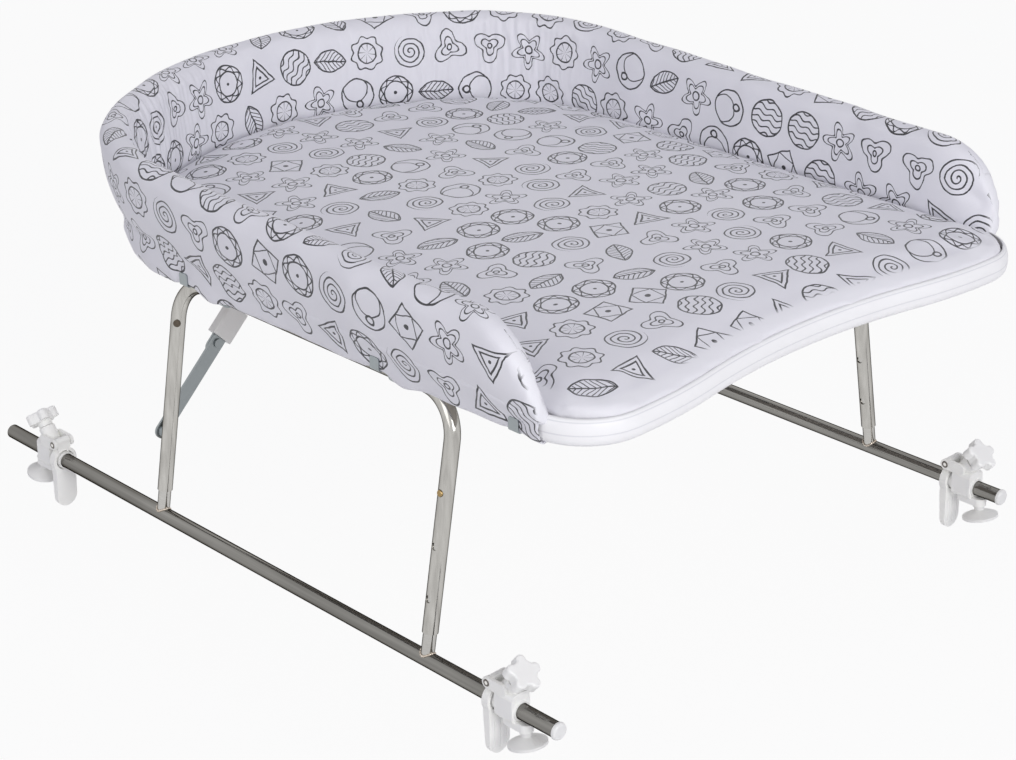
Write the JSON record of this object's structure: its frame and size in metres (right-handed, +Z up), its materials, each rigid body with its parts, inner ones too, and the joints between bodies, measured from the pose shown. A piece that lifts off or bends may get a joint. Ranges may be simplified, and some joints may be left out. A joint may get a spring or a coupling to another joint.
{
  "type": "bath tub changing table",
  "caption": "Padded changing tray with a raised rim on folding tube legs, with height-adjustable rails that clamp across a bath tub.",
  "frame": {"origin": "middle of the bounding box at the level of the clamp jaws' tips", "axes": "+X to the right, +Y to the round head end, +Z up"},
  "size_m": [0.658, 0.855, 0.4385],
  "materials": {
    "cover_print": null,
    "cover_plain": "plain white binding",
    "board": "pale panel, covered by the cloth from above",
    "zinc": "bright zinc plating",
    "leg_tube": "satin nickel tube",
    "rail_tube": "polished chrome tube",
    "brass": "plain",
    "steel": "plain",
    "white_plastic": "satin white",
    "foot_rubber": "pale translucent rubber"
  },
  "bodies": {
    "tray": {"base_board": "board", "pad": "cover_print", "bolster": "cover_print", "front_edge_trim": "cover_plain", "edge_clips": "zinc", "hinge_saddles": "zinc", "underside_screws": "zinc", "stay_brackets": "zinc", "bracket_pins": "zinc"},
    "legs_left": {"leg_frame_left": "leg_tube", "stay_spacer_left": "zinc", "stop_rivet_left": "brass"},
    "rail_left": {"rail_left": "rail_tube", "stub_tubes_left": "rail_tube", "rail_caps_left": "white_plastic", "snap_spring_left": "steel"},
    "button_left": {"snap_button_left": "brass"},
    "stay_upper_left": {"stay_upper_left": "zinc", "stay_rivet_left": "zinc"},
    "stay_lower_left": {"stay_lower_left": "zinc", "stay_bolt_left": "zinc"},
    "sleeve_left": {"lock_sleeve_left": "white_plastic"},
    "legs_right": {"leg_frame_right": "leg_tube", "stay_spacer_right": "zinc", "stop_rivet_right": "brass"},
    "rail_right": {"rail_right": "rail_tube", "stub_tubes_right": "rail_tube", "rail_caps_right": "white_plastic", "snap_spring_right": "steel"},
    "button_right": {"snap_button_right": "brass"},
    "stay_upper_right": {"stay_upper_right": "zinc", "stay_rivet_right": "zinc"},
    "stay_lower_right": {"stay_lower_right": "zinc", "stay_bolt_right": "zinc"},
    "sleeve_right": {"lock_sleeve_right": "white_plastic"},
    "clamp_front_left": {"clamp_body_front_left": "white_plastic", "clamp_pin_front_left": "steel", "clamp_foot_front_left": "foot_rubber"},
    "jaw_front_left": {"clamp_jaw_front_left": "white_plastic"},
    "knob_front_left": {"clamp_knob_front_left": "white_plastic", "clamp_screw_front_left": "steel"},
    "clamp_front_right": {"clamp_body_front_right": "white_plastic", "clamp_pin_front_right": "steel", "clamp_foot_front_right": "foot_rubber"},
    "jaw_front_right": {"clamp_jaw_front_right": "white_plastic"},
    "knob_front_right": {"clamp_knob_front_right": "white_plastic", "clamp_screw_front_right": "steel"},
    "clamp_back_left": {"clamp_body_back_left": "white_plastic", "clamp_pin_back_left": "steel", "clamp_foot_back_left": "foot_rubber"},
    "jaw_back_left": {"clamp_jaw_back_left": "white_plastic"},
    "knob_back_left": {"clamp_knob_back_left": "white_plastic", "clamp_screw_back_left": "steel"},
    "clamp_back_right": {"clamp_body_back_right": "white_plastic", "clamp_pin_back_right": "steel", "clamp_foot_back_right": "foot_rubber"},
    "jaw_back_right": {"clamp_jaw_back_right": "white_plastic"},
    "knob_back_right": {"clamp_knob_back_right": "white_plastic", "clamp_screw_back_right": "steel"}
  },
  "joints": [
    {"name": "fold_left", "type": "hinge", "parent": "tray", "child": "legs_left", "pos_m": [-0.26876, 0, 0.296], "axis": [0, -1, 0], "range_deg": [0, 80]},
    {"name": "height_left", "type": "slide", "parent": "legs_left", "child": "rail_left", "axis": [-0.1719, 0, -0.9851], "range_m": [0, 0.1], "deforming": ["snap_button_left"]},
    {"name": "button_left", "type": "slide", "parent": "rail_left", "child": "button_left", "axis": [0.9851, 0, -0.1719], "range_m": [0, 0.0028], "stiffness_N_per_m": 900, "deforming": ["snap_spring_left"]},
    {"name": "stay_upper_left", "type": "hinge", "parent": "tray", "child": "stay_upper_left", "pos_m": [-0.13076, 0.1575, 0.302], "axis": [0, -1, 0], "range_deg": [0, 108.11]},
    {"name": "stay_lower_left", "type": "hinge", "parent": "stay_upper_left", "child": "stay_lower_left", "pos_m": [-0.22358, 0.1575, 0.2096], "axis": [0, -1, 0], "range_deg": [-152.19, 0]},
    {"name": "sleeve_left", "type": "slide", "parent": "stay_upper_left", "child": "sleeve_left", "axis": [0.7087, 0, 0.7055], "range_m": [0, 0.07205]},
    {"name": "fold_right", "type": "hinge", "parent": "tray", "child": "legs_right", "pos_m": [0.26876, 0, 0.296], "axis": [0, -1, 0], "range_deg": [-80, 0]},
    {"name": "height_right", "type": "slide", "parent": "legs_right", "child": "rail_right", "axis": [0.1719, 0, -0.9851], "range_m": [0, 0.1], "deforming": ["snap_button_right"]},
    {"name": "button_right", "type": "slide", "parent": "rail_right", "child": "button_right", "axis": [-0.9851, 0, -0.1719], "range_m": [0, 0.0028], "stiffness_N_per_m": 900, "deforming": ["snap_spring_right"]},
    {"name": "stay_upper_right", "type": "hinge", "parent": "tray", "child": "stay_upper_right", "pos_m": [0.13076, 0.1575, 0.302], "axis": [0, -1, 0], "range_deg": [-108.11, 0]},
    {"name": "stay_lower_right", "type": "hinge", "parent": "stay_upper_right", "child": "stay_lower_right", "pos_m": [0.22358, 0.1575, 0.2096], "axis": [0, -1, 0], "range_deg": [0, 152.19]},
    {"name": "sleeve_right", "type": "slide", "parent": "stay_upper_right", "child": "sleeve_right", "axis": [-0.7087, 0, 0.7055], "range_m": [0, 0.07205]},
    {"name": "clamp_slide_front_left", "type": "slide", "parent": "rail_left", "child": "clamp_front_left", "axis": [0, 1, 0], "range_m": [-0.035, 0.06]},
    {"name": "jaw_swing_front_left", "type": "hinge", "parent": "clamp_front_left", "child": "jaw_front_left", "pos_m": [-0.311, -0.3285, 0.073], "axis": [1, 0, 0], "range_deg": [-8, 12]},
    {"name": "knob_turn_front_left", "type": "hinge", "parent": "clamp_front_left", "child": "knob_front_left", "pos_m": [-0.311, -0.35078, 0.07698], "axis": [0, -0.6428, 0.766], "continuous": true},
    {"name": "clamp_slide_front_right", "type": "slide", "parent": "rail_right", "child": "clamp_front_right", "axis": [0, 1, 0], "range_m": [-0.02, 0.06]},
    {"name": "jaw_swing_front_right", "type": "hinge", "parent": "clamp_front_right", "child": "jaw_front_right", "pos_m": [0.311, -0.3435, 0.073], "axis": [1, 0, 0], "range_deg": [-8, 12]},
    {"name": "knob_turn_front_right", "type": "hinge", "parent": "clamp_front_right", "child": "knob_front_right", "pos_m": [0.311, -0.36578, 0.07698], "axis": [0, -0.6428, 0.766], "continuous": true},
    {"name": "clamp_slide_back_left", "type": "slide", "parent": "rail_left", "child": "clamp_back_left", "axis": [0, -1, 0], "range_m": [-0.045, 0.1]},
    {"name": "jaw_swing_back_left", "type": "hinge", "parent": "clamp_back_left", "child": "jaw_back_left", "pos_m": [-0.311, 0.3335, 0.073], "axis": [-1, 0, 0], "range_deg": [-8, 12]},
    {"name": "knob_turn_back_left", "type": "hinge", "parent": "clamp_back_left", "child": "knob_back_left", "pos_m": [-0.311, 0.35578, 0.07698], "axis": [0, 0.6428, 0.766], "continuous": true},
    {"name": "clamp_slide_back_right", "type": "slide", "parent": "rail_right", "child": "clamp_back_right", "axis": [0, -1, 0], "range_m": [-0.045, 0.1]},
    {"name": "jaw_swing_back_right", "type": "hinge", "parent": "clamp_back_right", "child": "jaw_back_right", "pos_m": [0.311, 0.3335, 0.073], "axis": [-1, 0, 0], "range_deg": [-8, 12]},
    {"name": "knob_turn_back_right", "type": "hinge", "parent": "clamp_back_right", "child": "knob_back_right", "pos_m": [0.311, 0.35578, 0.07698], "axis": [0, 0.6428, 0.766], "continuous": true}
  ],
  "couplings": [
    {"joint": "stay_upper_left", "follows": "fold_left", "ratio": 1.3512},
    {"joint": "stay_lower_left", "follows": "fold_left", "ratio": -1.9023},
    {"joint": "sleeve_left", "follows": "fold_left", "m_per_rad": 0.051566},
    {"joint": "stay_upper_right", "follows": "fold_right", "ratio": 1.3512},
    {"joint": "stay_lower_right", "follows": "fold_right", "ratio": -1.9023},
    {"joint": "sleeve_right", "follows": "fold_right", "m_per_rad": -0.051566}
  ]
}
